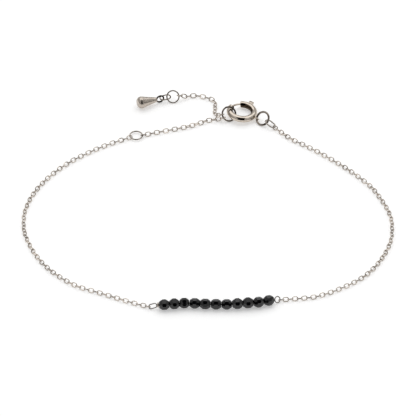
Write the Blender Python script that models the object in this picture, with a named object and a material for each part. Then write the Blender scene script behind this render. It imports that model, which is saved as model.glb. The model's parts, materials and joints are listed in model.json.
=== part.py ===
"""Fine cable chain bracelet with a bar of faceted black beads, laid flat and closed.

The loop runs from the size ring along the left chain to the beads, and along the right chain
back to the clasp, which is hooked into the hook ring. A short tail chain with a cone drop
hangs on the hook ring. Metres, +Z up, the surface that the bracelet lies on is z = 0.
"""
import math
import random

import bmesh
import bpy
from mathutils import Matrix, Vector

MM = 0.001

# Clearances between pieces that are linked but not fused
GAP = 0.03 * MM
HOLD_GAP = 0.08 * MM
HOOK_GAP = 0.20 * MM
LOOP_GAP = 0.14 * MM

# Cable chain: oval links, one like the next, lying at 45 degrees to the surface by turns
LINK_PITCH = 0.84 * MM
LINK_WIDTH = 0.90 * MM
LINK_WIRE = 0.18 * MM
LINK_FUSE = 0.03 * MM
LINK_SIDES = 10
LINK_WIRE_SIDES = 5
LINK_ROLL = math.radians(45)

# Jump rings: outer diameter and wire
SIZE_RING = 2.53 * MM
SIZE_RING_WIRE = 0.26 * MM
HOOK_RING = 2.80 * MM
HOOK_RING_WIRE = 0.30 * MM
CLASP_LINK = 2.74 * MM
CLASP_LINK_WIRE = 0.38 * MM
CHAIN_LINK_LENGTH = 2.30 * MM
CHAIN_LINK_WIDTH = 1.66 * MM
CHAIN_LINK_WIRE = 0.25 * MM
DROP_RING = 2.42 * MM
DROP_RING_WIRE = 0.25 * MM
DROP_LINK_LENGTH = 2.20 * MM
DROP_LINK_WIDTH = 1.40 * MM
DROP_LINK_WIRE = 0.22 * MM
RING_SIDES = 16
RING_WIRE_SIDES = 6
SETTLE_STEPS = 40

# Spring ring clasp: a tube bent round a circle, open at the gate
CLASP_RADIUS = 2.20 * MM
CLASP_TUBE = 1.18 * MM
CLASP_BORE = 0.54 * MM
CLASP_SIDES = 12
CLASP_STEP = math.radians(11)
GATE_START = math.radians(97)
GATE_END = math.radians(149)
GATE_TRAVEL = math.radians(55)
BOLT_WIRE = 0.36 * MM
BOLT_LAP = math.radians(3)
BOLT_TAIL = math.radians(50)
BORE_SPARE = math.radians(3)
LEVER_ANGLE = math.radians(59)
LEVER_REACH = 0.72 * MM
LEVER_WIDTH = 0.74 * MM
LEVER_HEIGHT = 0.40 * MM
STEM_WIDTH = 0.40 * MM
STEM_HEIGHT = 0.26 * MM
STEM_CLEARANCE = 0.07 * MM
EYE_ANGLE = math.radians(-32)
EYE_HOLE = 0.54 * MM
EYE_WIRE = 0.24 * MM
EYE_SINK = 0.12 * MM
EYE_ROLL = math.radians(45)

# Beads: faceted round stones on a thread with an eye at each end. Each row of facets is
# a tilt towards the ends in radians, an offset in facets, and a share of the sides
BEAD_DIAMETER = 1.86 * MM
BEAD_SPREAD = 0.025
BEAD_GAP = 0.05 * MM
BEAD_SIDES = 10
BEAD_TABLE = 0.88
BEAD_TABLE_CORNER = 0.62
BEAD_BLANK = 2.6
BEAD_ROWS = [(0.0, 0.0, 1.0), (0.62, 0.5, 1.0), (1.08, 0.0, 0.5)]
BEAD_HOLE = 0.44 * MM
THREAD_WIRE = 0.22 * MM
THREAD_SIDES = 8
COLLAR_DIAMETER = 0.96 * MM
COLLAR_WIRE = 0.30 * MM
EYE_LOOP_WIRE = 0.20 * MM
LEFT_LOOP_LENGTH = 1.70 * MM
LEFT_LOOP_WIDTH = 0.98 * MM
RIGHT_LOOP = 1.32 * MM
BEAD_SEED = 11

# Drop: a turned cone with a cast eye, lying on its side
DROP_LENGTH = 3.70 * MM
DROP_DIAMETER = 2.20 * MM
DROP_NECK = 0.96 * MM
DROP_EYE = 1.62 * MM
DROP_EYE_WIRE = 0.28 * MM
DROP_SIDES = 20
DROP_TURN = math.radians(21)
DROP_SLACK = 0.46
DROP_REST = 0.22

# Where the chain lies: half the height that its links reach at 45 degrees
CHAIN_REST = (LINK_WIDTH - LINK_WIRE) / 2 * math.sin(LINK_ROLL) + LINK_WIRE / 2
TUBE_DIAMETER = 2 * CHAIN_REST
TUBE_GAP = 0.12 * MM
TUBE_STEP = 2.4 * TUBE_DIAMETER

# Routes in plan, in mm, as the bracelet lies
SIZE_RING_PLACE = (-12.94, 19.33)
CLASP_PLACE = (6.12, 25.32)
DROP_RING_PLACE = (-6.33, 29.35)
LEFT_ROUTE = [(-17.29, 17.20), (-20.77, 15.09), (-24.75, 12.06), (-28.19, 8.34), (-30.99, 3.95),
              (-32.67, -0.86), (-32.99, -4.82), (-32.60, -8.29), (-30.75, -13.43), (-27.94, -17.74),
              (-23.84, -21.49), (-19.39, -23.59), (-14.59, -25.78), (-12.30, -26.75)]
RIGHT_ROUTE = [(14.64, 18.67), (17.02, 16.87), (20.07, 14.55), (24.73, 10.39), (28.32, 6.43),
               (30.16, 3.62), (32.33, -1.52), (32.94, -5.48), (32.56, -10.12), (30.59, -15.26),
               (27.67, -19.38), (23.66, -22.44), (19.52, -24.55), (16.45, -25.12), (14.55, -25.31)]
ADJUSTER_ROUTE = [(-10.39, 19.80), (-8.91, 20.26), (-7.37, 20.67), (-5.77, 21.13), (-4.18, 21.60),
                  (-2.74, 22.14), (-1.24, 22.85), (-0.16, 23.45), (1.00, 23.62), (1.75, 23.72, 0.12)]
TAIL_ROUTE = [(1.45, 24.85), (1.20, 26.10), (1.35, 27.75), (0.90, 29.15), (-0.10, 29.75),
              (-1.31, 30.15), (-2.47, 30.40), (-3.50, 30.10)]
BEAD_JOINTS = [(-8.72, -27.56), (-6.88, -27.50), (-5.12, -27.16), (-3.32, -26.98), (-1.44, -27.24),
               (0.48, -27.36), (2.38, -27.34), (4.28, -27.40), (6.18, -27.14), (8.08, -27.00),
               (9.92, -26.66), (11.68, -26.02)]

# How the rings lean: the way that each one faces, and the way that each one pulls
HOOK_ANGLE = math.radians(207)
HOOK_LEAN = math.radians(40)
HOOK_LIFT = 0.05 * MM
CLASP_LINK_TURN = math.radians(-20)
CLASP_LINK_ROLL = math.radians(-40)
CHAIN_LINK_HOLD = math.radians(-28)
CHAIN_LINK_TURN = math.radians(-36)
CHAIN_LINK_FACE = (0.32, 0.10, 0.94)
DROP_RING_LEAN = math.radians(49)
TAIL_ON_HOOK = math.radians(-14)
ADJUSTER_ON_HOOK = math.radians(20)
TAIL_ON_DROP_RING = math.radians(14)
CHAIN_ON_SIZE_RING = math.radians(206)
ADJUSTER_ON_SIZE_RING = math.radians(4)
LEFT_LOOP_TURN = math.radians(176)
RIGHT_LOOP_TURN = math.radians(20)
LOOP_FACE = (0.0, -0.70, 0.70)

# Colours of the finishes: base colour, metallic, roughness
SILVER = ((0.80, 0.78, 0.75), 1.0, 0.16)
STONE = ((0.020, 0.020, 0.024), 0.0, 0.08)
THREAD = ((0.55, 0.54, 0.53), 1.0, 0.30)


def clear_scene():
    for item in list(bpy.data.objects):
        bpy.data.objects.remove(item, do_unlink=True)


def finish_material(name, finish):
    colour, metallic, roughness = finish
    material = bpy.data.materials.new(name + "_finish")
    material.use_nodes = True
    shader = material.node_tree.nodes["Principled BSDF"]
    shader.inputs["Base Color"].default_value = (*colour, 1.0)
    shader.inputs["Metallic"].default_value = metallic
    shader.inputs["Roughness"].default_value = roughness
    return material


def add_object(name, mesh, finish, parent, place=None, smooth=True):
    """Link a mesh into the scene as one piece of the bracelet."""
    item = bpy.data.objects.new(name, mesh)
    bpy.context.scene.collection.objects.link(item)
    item.parent = parent
    item.matrix_local = place or Matrix.Identity(4)
    item.data.materials.append(finish_material(name, finish))
    if smooth:
        item.data.shade_smooth()
        item.data.set_sharp_from_angle(angle=math.radians(50))
    return item


def add_guide(name, mesh, parent, place=None):
    """Link a mesh that only cuts or joins another piece."""
    item = bpy.data.objects.new(name, mesh)
    bpy.context.scene.collection.objects.link(item)
    item.parent = parent
    item.matrix_local = place or Matrix.Identity(4)
    item.hide_render = True
    item.display_type = "WIRE"
    return item


def combine(item, other, operation):
    modifier = item.modifiers.new(operation.lower() + "_" + other.name, "BOOLEAN")
    modifier.operation = operation
    modifier.solver = "EXACT"
    modifier.object = other


def mesh_from(name, shape):
    bmesh.ops.recalc_face_normals(shape, faces=shape.faces)
    mesh = bpy.data.meshes.new(name)
    shape.to_mesh(mesh)
    shape.free()
    return mesh


def circle_path(radius, sides):
    """A closed round path, sized so that the middle of each side lies on the circle."""
    corner = radius / math.cos(math.pi / sides)
    angles = [2 * math.pi * (index + 0.5) / sides for index in range(sides)]
    return [Vector((corner * math.cos(angle), corner * math.sin(angle), 0)) for angle in angles]


def oval_path(half_length, half_width, sides):
    """A closed path of two half circles joined by straight sides, long in X."""
    straight = half_length - half_width
    steps = sides // 2 - 1
    turns = [-math.pi / 2 + math.pi * index / steps for index in range(steps + 1)]
    right = [Vector((straight + half_width * math.cos(turn), half_width * math.sin(turn), 0))
             for turn in turns]
    return right + [-point for point in right]


def arc_path(radius, start, end, step):
    count = max(2, math.ceil(abs(end - start) / step))
    angles = [start + (end - start) * index / count for index in range(count + 1)]
    return [Vector((radius * math.cos(angle), radius * math.sin(angle), 0)) for angle in angles]


def sweep_wire(shape, path, radius, sides, closed, place=None):
    """Sweep a round wire along a path that lies flat in XY, with mitred corners."""
    place = place or Matrix.Identity(4)
    count = len(path)
    sections = []
    for index, point in enumerate(path):
        before = path[index - 1] if closed or index else path[0] * 2 - path[1]
        after = path[(index + 1) % count] if closed or index < count - 1 else point * 2 - before
        arriving = (point - before).normalized()
        leaving = (after - point).normalized()
        heading = (arriving + leaving).normalized()
        outward = Vector((heading.y, -heading.x, 0)) / heading.dot(leaving)
        ring = []
        for side in range(sides):
            turn = math.pi + 2 * math.pi * side / sides
            offset = outward * (radius * math.cos(turn)) + Vector((0, 0, radius * math.sin(turn)))
            ring.append(shape.verts.new(place @ (point + offset)))
        sections.append(ring)
    spans = count if closed else count - 1
    for index in range(spans):
        ring, following = sections[index], sections[(index + 1) % count]
        for side in range(sides):
            corner = (side + 1) % sides
            shape.faces.new((ring[side], ring[corner], following[corner], following[side]))
    if not closed:
        shape.faces.new(sections[0])
        shape.faces.new(reversed(sections[-1]))


def wire_mesh(name, path, wire, sides, closed=True):
    shape = bmesh.new()
    sweep_wire(shape, path, wire / 2, sides, closed)
    return mesh_from(name, shape)


def ring_mesh(name, outer, wire):
    return wire_mesh(name, circle_path((outer - wire) / 2, RING_SIDES), wire, RING_WIRE_SIDES)


def oval_mesh(name, length, width, wire):
    path = oval_path((length - wire) / 2, (width - wire) / 2, RING_SIDES)
    return wire_mesh(name, path, wire, RING_WIRE_SIDES)


def arc_block(name, inner, outer, height, start, end, step):
    """A flat block bent round the Z axis between two radii and two angles."""
    shape = bmesh.new()
    near = arc_path(inner, start, end, step)
    far = arc_path(outer, start, end, step)
    outline = near + far[::-1]
    low = [shape.verts.new(point - Vector((0, 0, height / 2))) for point in outline]
    high = [shape.verts.new(point + Vector((0, 0, height / 2))) for point in outline]
    count = len(outline)
    for index in range(count):
        after = (index + 1) % count
        shape.faces.new((low[index], low[after], high[after], high[index]))
    for index in range(len(near) - 1):
        across = count - 1 - index
        shape.faces.new((low[index], low[index + 1], low[across - 1], low[across]))
        shape.faces.new((high[index], high[index + 1], high[across - 1], high[across]))
    return mesh_from(name, shape)


def facing(centre, face, pull):
    """A placement at centre with X along pull and Z as near as it can be to face."""
    along = Vector(pull).normalized()
    upward = Vector(face)
    upward = (upward - along * upward.dot(along)).normalized()
    sideways = upward.cross(along)
    turned = Matrix((along, sideways, upward)).transposed().to_4x4()
    return Matrix.Translation(centre) @ turned


def sloped(turn, rise, reach):
    """The way that heads along turn in plan and climbs by rise over reach."""
    climb = rise / reach
    level = math.sqrt(1 - climb ** 2)
    return Vector((math.cos(turn) * level, math.sin(turn) * level, climb))


def resting_ring(held, turn, roll, radius, wire):
    """Place a ring whose wire passes through held and whose lowest point lies on the surface."""
    climb = 0.0
    corner = radius / math.cos(math.pi / RING_SIDES)
    for _ in range(SETTLE_STEPS):
        level = math.sqrt(1 - climb ** 2)
        lowest = corner * math.sqrt(1 - (math.cos(roll) * level) ** 2)
        climb = 0.5 * climb + 0.5 * (wire / 2 + lowest - held.z) / radius
    pull = sloped(turn, climb, 1.0)
    sideways = Vector((-math.sin(turn), math.cos(turn), 0))
    face = pull.cross(sideways) * math.cos(roll) + sideways * math.sin(roll)
    return facing(held + pull * radius, face, pull)


def on_ring(place, radius, angle):
    """The point of a ring's wire at an angle from its own X, and the way that the wire runs there."""
    outward = place.to_3x3() @ Vector((math.cos(angle), math.sin(angle), 0))
    tangent = place.to_3x3() @ Vector((-math.sin(angle), math.cos(angle), 0))
    return place.translation + outward * radius, tangent


def chain_anchor(hold, wire, toward):
    """Where the row of links starts, so that the first link holds a ring's wire squarely."""
    point, tangent = hold
    heading = (toward - point).normalized()
    heading = (heading - tangent * heading.dot(tangent)).normalized()
    inward = wire / 2 + LINK_WIRE / 2 + HOLD_GAP
    reach = (LINK_PITCH + LINK_WIRE - LINK_FUSE) / 2
    return point - heading * (inward - reach + LINK_PITCH / 2)


def most_roll(roll, height):
    """A roll from level, no further than a link at this height can turn above the surface."""
    roll = (roll + math.pi / 2) % math.pi - math.pi / 2
    room = (height - LINK_WIRE / 2) / ((LINK_WIDTH - LINK_WIRE) / 2)
    most = math.asin(max(0.0, min(1.0, room)))
    return max(-most, min(most, roll))


def link_roll(along, tangent, height):
    """How far a link rolls from level to take a wire squarely through it."""
    level = Vector((-along.y, along.x, 0)).normalized()
    upright = along.cross(level)
    return most_roll(math.atan2(tangent.dot(level), tangent.dot(upright)), height)


def smooth_route(points, samples=24):
    """A smooth curve through the points, which never dips below where the chain lies."""
    padded = [points[0] * 2 - points[1]] + points + [points[-1] * 2 - points[-2]]
    curve = []
    for index in range(1, len(padded) - 2):
        before, start, end, after = padded[index - 1:index + 3]
        for step in range(samples):
            share = step / samples
            point = 0.5 * (2 * start + (end - before) * share
                           + (2 * before - 5 * start + 4 * end - after) * share ** 2
                           + (3 * start - before - 3 * end + after) * share ** 3)
            curve.append(point)
    curve.append(points[-1].copy())
    for point in curve:
        point.z = max(point.z, CHAIN_REST)
    return curve


def even_points(curve, count, skip_start=0.0, skip_end=0.0):
    """Points at even steps along a curve, leaving out a stretch at each end."""
    lengths = [0.0]
    for before, after in zip(curve, curve[1:]):
        lengths.append(lengths[-1] + (after - before).length)
    first, last = skip_start, lengths[-1] - skip_end
    points = []
    span = 0
    for index in range(count + 1):
        target = first + (last - first) * index / count
        while span < len(curve) - 2 and lengths[span + 1] < target:
            span += 1
        share = (target - lengths[span]) / (lengths[span + 1] - lengths[span])
        points.append(curve[span].lerp(curve[span + 1], share))
    return points


def curve_length(curve):
    return sum((after - before).length for before, after in zip(curve, curve[1:]))


def plan_points(route):
    """Route points in metres; a third value is how far the chain is held up off the surface."""
    return [Vector((spot[0] * MM, spot[1] * MM, CHAIN_REST + sum(spot[2:]) * MM)) for spot in route]


def linked_chain(name, start_hold, start_wire, end_hold, end_wire, route, parent):
    """A short chain of real links from one ring's wire to another's, each link a quarter turn on."""
    middle = plan_points(route)
    start = chain_anchor(start_hold, start_wire, middle[0])
    end = chain_anchor(end_hold, end_wire, middle[-1])
    curve = smooth_route([start] + middle + [end])
    start_roll = link_roll((middle[0] - start).normalized(), start_hold[1], start_hold[0].z)
    end_roll = link_roll((end - middle[-1]).normalized(), end_hold[1], end_hold[0].z)
    exact = curve_length(curve) / LINK_PITCH
    count = round(exact)
    odd_needed = start_roll * end_roll > 0
    if (count % 2 == 1) != odd_needed:
        count += 1 if exact > count else -1
    joints = even_points(curve, count)
    pitch = curve_length(curve) / count
    half_length = (pitch + LINK_WIRE - LINK_FUSE) / 2
    path = oval_path(half_length, (LINK_WIDTH - LINK_WIRE) / 2, LINK_SIDES)
    turn_back = math.copysign(math.pi / 2, start_roll)
    twist = end_roll - start_roll + (0 if odd_needed else turn_back)
    shapes = [bmesh.new(), bmesh.new()]
    for index in range(count):
        along = (joints[index + 1] - joints[index]).normalized()
        level = Vector((-along.y, along.x, 0)).normalized()
        roll = start_roll - turn_back * (index % 2) + twist * index / (count - 1)
        roll = most_roll(roll, min(joints[index].z, joints[index + 1].z))
        face = level * math.sin(roll) + along.cross(level) * math.cos(roll)
        centre = (joints[index] + joints[index + 1]) / 2
        sweep_wire(shapes[index % 2], path, LINK_WIRE / 2, LINK_WIRE_SIDES, True,
                   facing(centre, face, along))
    chain = add_object(name, mesh_from(name, shapes[0]), SILVER, parent)
    others = add_guide(name + "_other_links", mesh_from(name + "_other", shapes[1]), parent)
    combine(chain, others, "UNION")
    return chain


def chain_tube(name, start_hold, start_wire, end_hold, end_wire, route, parent):
    """A long chain as the round space that its lying links fill, just clear of both wires."""
    middle = plan_points(route)
    start = chain_anchor(start_hold, start_wire, middle[0])
    end = chain_anchor(end_hold, end_wire, middle[-1])
    curve = smooth_route([start] + middle + [end])
    skip_start = start_wire + LINK_WIRE + TUBE_GAP
    skip_end = end_wire + LINK_WIRE + TUBE_GAP
    length = curve_length(curve) - skip_start - skip_end
    points = even_points(curve, round(length / TUBE_STEP), skip_start, skip_end)
    data = bpy.data.curves.new(name, "CURVE")
    data.dimensions = "3D"
    spline = data.splines.new("POLY")
    spline.points.add(len(points) - 1)
    for target, point in zip(spline.points, points):
        target.co = (*point, 1.0)
    data.bevel_depth = TUBE_DIAMETER / 2
    data.bevel_resolution = 2
    data.use_fill_caps = True
    tube = bpy.data.objects.new(name, data)
    bpy.context.scene.collection.objects.link(tube)
    tube.parent = parent
    data.materials.append(finish_material(name, SILVER))
    return tube


def bead_mesh(name, radius, length):
    """A round bead cut to flat facets: a table at each end and five staggered rows."""
    shape = bmesh.new()
    bmesh.ops.create_cube(shape, size=BEAD_BLANK)
    cuts = [(Vector((1, 0, 0)), BEAD_TABLE), (Vector((-1, 0, 0)), BEAD_TABLE)]
    for tilt, phase, part_of in BEAD_ROWS:
        sides = round(BEAD_SIDES * part_of)
        for end in ((1, -1) if tilt else (1,)):
            for side in range(sides):
                turn = 2 * math.pi * (side + phase) / sides
                across = math.cos(tilt)
                cuts.append((Vector((end * math.sin(tilt), across * math.sin(turn),
                                     -across * math.cos(turn))), 1.0))
    for normal, reach in cuts:
        geometry = shape.verts[:] + shape.edges[:] + shape.faces[:]
        cut = bmesh.ops.bisect_plane(shape, geom=geometry, dist=1e-6, plane_co=normal * reach,
                                     plane_no=normal, clear_outer=True)
        edges = [part for part in cut["geom_cut"] if isinstance(part, bmesh.types.BMEdge)]
        if edges:
            bmesh.ops.edgeloop_fill(shape, edges=edges)
    bmesh.ops.scale(shape, vec=(length / (2 * BEAD_TABLE), radius, radius), verts=shape.verts)
    return mesh_from(name, shape)


def bead_spans():
    """Each bead's middle in plan, its heading and its length, drawn back so that tables stay clear."""
    joints = [Vector((x * MM, y * MM)) for x, y in BEAD_JOINTS]
    turns = [math.atan2(*reversed(after - before)) for before, after in zip(joints, joints[1:])]
    padded = [turns[0]] + turns + [turns[-1]]
    eased = [(before + 2 * turn + after) / 4 for before, turn, after in zip(padded, turns, padded[2:])]
    bends = [0.0] + [abs(after - before) for before, after in zip(eased, eased[1:])] + [0.0]
    corner = BEAD_DIAMETER / 2 * BEAD_TABLE_CORNER
    backs = [BEAD_GAP / 2 + corner * math.tan(bend / 2) for bend in bends]
    spans = []
    for index, (start, end) in enumerate(zip(joints, joints[1:])):
        way = (end - start).normalized()
        near, far = start + way * backs[index], end - way * backs[index + 1]
        spans.append(((near + far) / 2, eased[index], (far - near).length))
    return spans


def make_beads(parent):
    """The eleven beads, each between two bends of the thread and resting on the surface."""
    rolls = random.Random(BEAD_SEED)
    height = BEAD_DIAMETER / 2
    spans = bead_spans()
    middle = len(spans) // 2
    for index, (centre, turn, length) in enumerate(spans):
        spread = 1 + BEAD_SPREAD * rolls.uniform(-1, 1)
        roll = rolls.uniform(0, 2 * math.pi)
        if index == middle:
            roll, spread = 0.0, 1.0
        name = "bead_%02d" % (index + 1)
        mesh = bead_mesh(name, BEAD_DIAMETER / 2 * spread, length)
        heading = Matrix.Rotation(turn, 4, "Z")
        turned = heading @ Matrix.Rotation(roll, 4, "X")
        lowest = min((turned @ vertex.co).z for vertex in mesh.vertices)
        place = Matrix.Translation((centre.x, centre.y, -lowest)) @ turned
        bead = add_object(name, mesh, STONE, parent, place, smooth=False)
        drill = wire_mesh(name + "_hole", [Vector((-length, 0, 0)), Vector((length, 0, 0))],
                          BEAD_HOLE, BEAD_SIDES, closed=False)
        straight = Matrix.Translation((centre.x, centre.y, height)) @ heading
        combine(bead, add_guide(name + "_drill", drill, parent, straight), "DIFFERENCE")


def make_thread(parent):
    """The thread through the beads, with a long eye on the left and a round one on the right."""
    height = BEAD_DIAMETER / 2
    joints = [Vector((x * MM, y * MM, height)) for x, y in BEAD_JOINTS]
    left_way = (joints[0] - joints[1]).normalized()
    right_way = (joints[-1] - joints[-2]).normalized()
    left_end = joints[0] + left_way * (COLLAR_WIRE + 2 * GAP + BEAD_GAP)
    right_end = joints[-1] + right_way * (EYE_LOOP_WIRE / 2 + LOOP_GAP)
    lift = Vector((0, 0, height))
    path = [point - lift for point in [left_end] + joints[1:-1] + [right_end]]
    lifted = Matrix.Translation(lift)
    shape = bmesh.new()
    sweep_wire(shape, path, THREAD_WIRE / 2, THREAD_SIDES, False)
    thread = add_object("bead_wire", mesh_from("bead_wire", shape), THREAD, parent, lifted)

    left_half = (LEFT_LOOP_LENGTH - EYE_LOOP_WIRE) / 2
    left_pull = sloped(LEFT_LOOP_TURN, CHAIN_REST - height, 2 * left_half)
    left_place = facing(left_end + left_pull * left_half, LOOP_FACE, left_pull)
    left_eye = oval_mesh("left_eye", LEFT_LOOP_LENGTH, LEFT_LOOP_WIDTH, EYE_LOOP_WIRE)
    combine(thread, add_guide("left_eye_guide", left_eye, parent, left_place), "UNION")

    right_half = (RIGHT_LOOP - EYE_LOOP_WIRE) / 2
    right_pull = sloped(RIGHT_LOOP_TURN, CHAIN_REST - height, 2 * right_half)
    right_place = facing(right_end + right_pull * right_half, LOOP_FACE, right_pull)
    right_eye = ring_mesh("right_eye", RIGHT_LOOP, EYE_LOOP_WIRE)
    combine(thread, add_guide("right_eye_guide", right_eye, parent, right_place), "UNION")

    collar_path = circle_path((COLLAR_DIAMETER - COLLAR_WIRE) / 2, BEAD_SIDES)
    collar = wire_mesh("crimp_collar", collar_path, COLLAR_WIRE, RING_WIRE_SIDES)
    collar_centre = joints[0] + left_way * (COLLAR_WIRE / 2 + GAP)
    add_object("crimp_collar", collar, SILVER, parent, facing(collar_centre, left_way, (0, 0, 1)))
    return (on_ring(left_place, left_half, 0.0), on_ring(right_place, right_half, 0.0))


def make_clasp(place, parent):
    """The clasp's tube with its bore, lever slot and soldered eye, and the bolt that slides in it."""
    axis = bpy.data.objects.new("clasp_axis", None)
    bpy.context.scene.collection.objects.link(axis)
    axis.parent = parent
    axis.matrix_local = place
    tube_path = arc_path(CLASP_RADIUS, GATE_END, GATE_START + 2 * math.pi, CLASP_STEP)
    tube = wire_mesh("clasp_ring", tube_path, CLASP_TUBE, CLASP_SIDES, closed=False)
    clasp = add_object("clasp_ring", tube, SILVER, axis)

    bore_end = BOLT_TAIL - GATE_TRAVEL - BORE_SPARE
    bore_path = arc_path(CLASP_RADIUS, bore_end, GATE_START + BORE_SPARE, CLASP_STEP)
    bore = wire_mesh("clasp_bore", bore_path, CLASP_BORE, CLASP_SIDES, closed=False)
    combine(clasp, add_guide("clasp_bore_guide", bore, axis), "DIFFERENCE")
    socket_end = GATE_END + BOLT_LAP + BORE_SPARE
    socket_path = arc_path(CLASP_RADIUS, GATE_END - BORE_SPARE, socket_end, CLASP_STEP)
    socket = wire_mesh("clasp_socket", socket_path, CLASP_BORE, CLASP_SIDES, closed=False)
    combine(clasp, add_guide("clasp_socket_guide", socket, axis), "DIFFERENCE")

    outer = CLASP_RADIUS + CLASP_TUBE / 2
    stem_turn = STEM_WIDTH / 2 / CLASP_RADIUS
    slot_spare = stem_turn + STEM_CLEARANCE / CLASP_RADIUS
    slot = arc_block("clasp_slot", CLASP_RADIUS, outer + CLASP_TUBE / 2, STEM_HEIGHT + 2 * STEM_CLEARANCE,
                     LEVER_ANGLE - GATE_TRAVEL - slot_spare, LEVER_ANGLE + slot_spare, CLASP_STEP)
    combine(clasp, add_guide("clasp_slot_guide", slot, axis), "DIFFERENCE")

    eye = ring_mesh("clasp_eye", EYE_HOLE + 2 * EYE_WIRE, EYE_WIRE)
    eye_reach = outer + (EYE_HOLE + EYE_WIRE) / 2 - EYE_SINK + EYE_WIRE / 2
    outward = Vector((math.cos(EYE_ANGLE), math.sin(EYE_ANGLE), 0))
    sideways = Vector((-math.sin(EYE_ANGLE), math.cos(EYE_ANGLE), 0))
    face = Vector((0, 0, math.cos(EYE_ROLL))) + sideways * math.sin(EYE_ROLL)
    eye_place = facing(outward * eye_reach, face, outward)
    combine(clasp, add_guide("clasp_eye_guide", eye, axis, eye_place), "UNION")

    bolt_path = arc_path(CLASP_RADIUS, BOLT_TAIL, GATE_END + BOLT_LAP, CLASP_STEP)
    bolt_mesh = wire_mesh("clasp_gate", bolt_path, BOLT_WIRE, THREAD_SIDES, closed=False)
    bolt = add_object("clasp_gate", bolt_mesh, SILVER, axis)
    knob_base = outer + STEM_CLEARANCE
    stem = arc_block("gate_stem", CLASP_RADIUS, knob_base + STEM_CLEARANCE, STEM_HEIGHT,
                     LEVER_ANGLE - stem_turn, LEVER_ANGLE + stem_turn, CLASP_STEP)
    combine(bolt, add_guide("gate_stem_guide", stem, axis), "UNION")
    knob_turn = LEVER_WIDTH / 2 / knob_base
    knob = arc_block("gate_knob", knob_base, knob_base + LEVER_REACH, LEVER_HEIGHT,
                     LEVER_ANGLE - knob_turn, LEVER_ANGLE + knob_turn, CLASP_STEP)
    combine(bolt, add_guide("gate_knob_guide", knob, axis), "UNION")
    return place @ (outward * eye_reach)


def drop_profile():
    """Half the drop's outline from its round end to its neck: share of length, share of radius."""
    neck = DROP_NECK / DROP_DIAMETER
    return [(0.00, 0.40), (0.02, 0.62), (0.06, 0.80), (0.12, 0.92), (0.19, 0.985), (0.225, 1.00),
            (0.24, 0.96), (0.255, 0.97), (0.60, 0.5 * (neck + 1.0) - 0.04), (0.93, neck),
            (0.98, neck * 0.92), (1.00, neck * 0.75)]


def make_drop(eye_centre, parent):
    """The drop, turned about its own X from the round end at the left to the eye at the right."""
    rise = DROP_DIAMETER / 2 - eye_centre.z
    eye_radius = (DROP_EYE - DROP_EYE_WIRE) / 2
    reach = DROP_LENGTH + eye_radius
    tip = math.asin(rise / (reach - DROP_REST * DROP_LENGTH))
    along = sloped(DROP_TURN, -math.sin(tip), 1.0)
    place = facing(eye_centre - along * reach, (math.sin(DROP_TURN), -math.cos(DROP_TURN), 0), along)
    shape = bmesh.new()
    rings = []
    for share, width in drop_profile():
        radius = width * DROP_DIAMETER / 2
        turns = [2 * math.pi * side / DROP_SIDES for side in range(DROP_SIDES)]
        ring = [Vector((share * DROP_LENGTH, radius * math.cos(turn), radius * math.sin(turn)))
                for turn in turns]
        rings.append([shape.verts.new(corner) for corner in ring])
    for ring, following in zip(rings, rings[1:]):
        for side in range(DROP_SIDES):
            corner = (side + 1) % DROP_SIDES
            shape.faces.new((ring[side], ring[corner], following[corner], following[side]))
    shape.faces.new(rings[0])
    shape.faces.new(reversed(rings[-1]))
    drop = add_object("drop_tag", mesh_from("drop_tag", shape), SILVER, parent, place)
    eye = ring_mesh("drop_eye", DROP_EYE, DROP_EYE_WIRE)
    eye_place = place @ Matrix.Translation((reach, 0, 0))
    combine(drop, add_guide("drop_eye_guide", eye, parent, eye_place), "UNION")


def settle(parent):
    """Move the whole bracelet so that the middle of its footprint is at the origin."""
    bpy.context.view_layer.update()
    depsgraph = bpy.context.evaluated_depsgraph_get()
    low = Vector((math.inf, math.inf, math.inf))
    high = -low
    for item in bpy.context.scene.objects:
        if item.type == "EMPTY" or item.hide_render:
            continue
        solid = item.evaluated_get(depsgraph)
        for corner in solid.to_mesh().vertices:
            spot = item.matrix_world @ corner.co
            low = Vector(map(min, low, spot))
            high = Vector(map(max, high, spot))
        solid.to_mesh_clear()
    parent.location = (-(low.x + high.x) / 2, -(low.y + high.y) / 2, -low.z)
    bpy.context.view_layer.update()


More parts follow.
